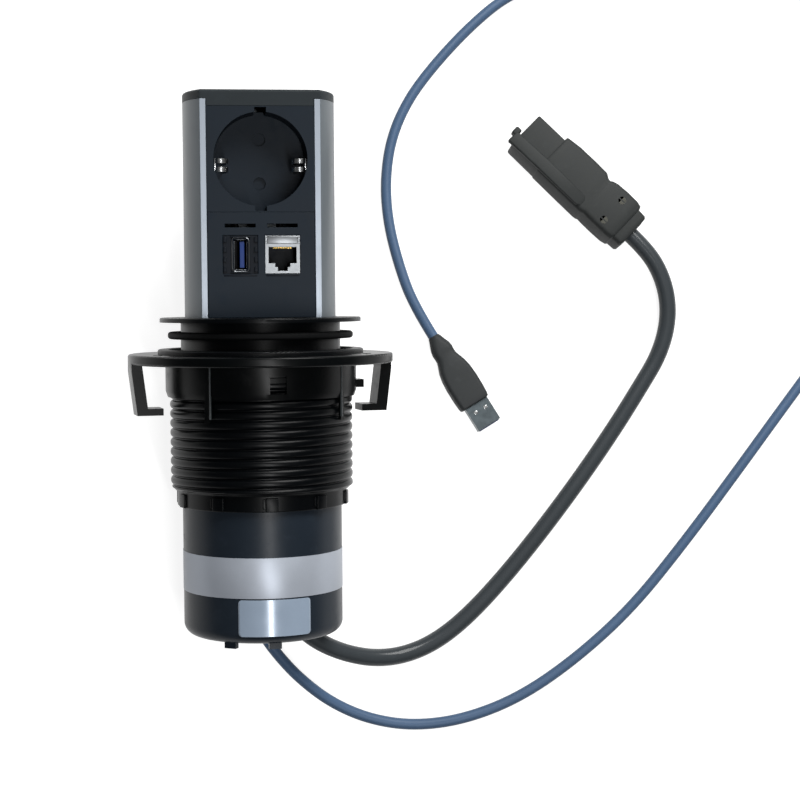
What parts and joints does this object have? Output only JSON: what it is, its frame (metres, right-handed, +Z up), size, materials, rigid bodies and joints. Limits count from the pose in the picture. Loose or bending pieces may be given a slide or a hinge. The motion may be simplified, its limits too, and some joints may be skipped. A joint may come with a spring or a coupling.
{
  "type": "pop-up desk socket",
  "caption": "Pop-up desk socket: a sprung column with an earthed socket, a USB port and a network port, in a threaded round casing with a clamp nut, with its mains lead and data lead.",
  "frame": {"origin": "on the surface under the middle of the unit's own box, without its leads", "axes": "+Y along the unit towards the column's cap (the unit's axis itself climbs 11.3 degrees that way), +Z up from the surface, +X to the right of the front panels"},
  "size_m": [0.3951, 0.3647, 0.1142],
  "materials": {
    "casing_plastic": "moulded, semi-gloss",
    "tube_plastic": "moulded, satin",
    "front_plastic": "fine matt grain",
    "inner_plastic": "moulded, plain",
    "adapter_plastic": "moulded, satin",
    "washer_plastic": "moulded, semi-gloss",
    "seal_rubber": "soft matt",
    "gland_rubber": "soft matt",
    "foil_dark": "blank satin foil",
    "foil_light": "blank satin foil",
    "profile_aluminium": "anodised, fine brushed",
    "bright_steel": "bright",
    "spring_steel": "tempered, bright",
    "contact_brass": "plain",
    "port_steel": "plated",
    "port_blue": "moulded",
    "wire_plastic": "insulation",
    "mains_jacket": "smooth jacket, semi-gloss",
    "data_jacket": "smooth jacket, satin",
    "connector_plastic": "moulded, fine grain",
    "plug_plastic": "moulded, satin",
    "plug_steel": "plated"
  },
  "bodies": {
    "casing": {"bezel_flange": "casing_plastic", "hole_seal": "seal_rubber", "threaded_sleeve": "casing_plastic", "lower_tube": "tube_plastic", "base_plate": "tube_plastic", "base_screws": "bright_steel", "mains_gland": "gland_rubber", "data_gland": "gland_rubber", "label_band": "foil_dark", "label_small": "foil_light", "spring_bracket": "bright_steel", "drum_axle": "bright_steel", "damper_body": "inner_plastic", "latch_bracket": "bright_steel", "latch_leaf_spring": "spring_steel", "mains_wires": "wire_plastic", "data_wire": "wire_plastic", "mains_cord": "mains_jacket", "data_cord_out": "data_jacket", "data_cord_coil": "data_jacket", "data_cord_back": "data_jacket", "connector_body": "connector_plastic", "connector_cover": "connector_plastic", "connector_screws": "bright_steel", "connector_poles": "contact_brass", "plug_body": "plug_plastic", "plug_shell": "plug_steel", "plug_tongue": "port_blue"},
    "column": {"column_profile": "profile_aluminium", "top_cap": "front_plastic", "front_filler": "front_plastic", "column_base": "inner_plastic", "slide_shoes": "inner_plastic", "damper_rack": "inner_plastic", "socket_body": "front_plastic", "socket_back": "front_plastic", "socket_sleeves": "contact_brass", "earth_clips": "bright_steel", "shutter_spring": "spring_steel", "terminal_screws": "bright_steel", "data_plate": "front_plastic", "usb_adapter": "adapter_plastic", "usb_port_shell": "port_steel", "usb_port_tongue": "port_blue", "rj45_jack": "port_steel", "rj45_contacts": "contact_brass", "lift_strips": "spring_steel"},
    "shutter": {"socket_shutter": "front_plastic"},
    "drums": {"spring_drums": "inner_plastic"},
    "damper_wheel": {"damper_gear": "inner_plastic"},
    "latch": {"latch_hook": "casing_plastic"},
    "nut_washer": {"thrust_washer": "washer_plastic"},
    "nut": {"clamp_nut": "casing_plastic"}
  },
  "joints": [
    {"name": "column_lift", "type": "slide", "parent": "casing", "child": "column", "axis": [0, 0.9806, 0.1961], "range_m": [-0.097, 0], "stiffness_N_per_m": 15, "springref_m": 0.5, "deforming": ["lift_strips", "mains_wires", "data_wire"]},
    {"name": "drum_turn", "type": "hinge", "parent": "casing", "child": "drums", "pos_m": [0, 0.00871, 0.08456], "axis": [1, 0, 0], "range_deg": [0, 1280]},
    {"name": "damper_turn", "type": "hinge", "parent": "casing", "child": "damper_wheel", "pos_m": [0.003, 0.01768, 0.02973], "axis": [1, 0, 0], "range_deg": [0, 1860]},
    {"name": "latch_swing", "type": "hinge", "parent": "casing", "child": "latch", "pos_m": [0, -0.09656, 0.06606], "axis": [1, 0, 0], "range_deg": [-10, 20], "stiffness_Nm_per_rad": 0.002, "springref_deg": -9.74, "deforming": ["latch_leaf_spring"]},
    {"name": "shutter_slide", "type": "slide", "parent": "column", "child": "shutter", "axis": [1, 0, 0], "range_m": [0, 0.006], "stiffness_N_per_m": 20, "springref_m": -0.003, "deforming": ["shutter_spring"]},
    {"name": "nut_travel", "type": "slide", "parent": "casing", "child": "nut_washer", "axis": [0, 0.9806, 0.1961], "range_m": [-0.038, 0.003]},
    {"name": "nut_turn", "type": "hinge", "parent": "nut_washer", "child": "nut", "pos_m": [0, 0.0217, 0.06064], "axis": [0, 0.9806, 0.1961], "range_deg": [-3310, 270]}
  ],
  "couplings": [
    {"joint": "drum_turn", "follows": "column_lift", "rad_per_m": -229.89},
    {"joint": "damper_turn", "follows": "column_lift", "rad_per_m": -333.33},
    {"joint": "nut_turn", "follows": "nut_travel", "rad_per_m": 1517.7}
  ]
}
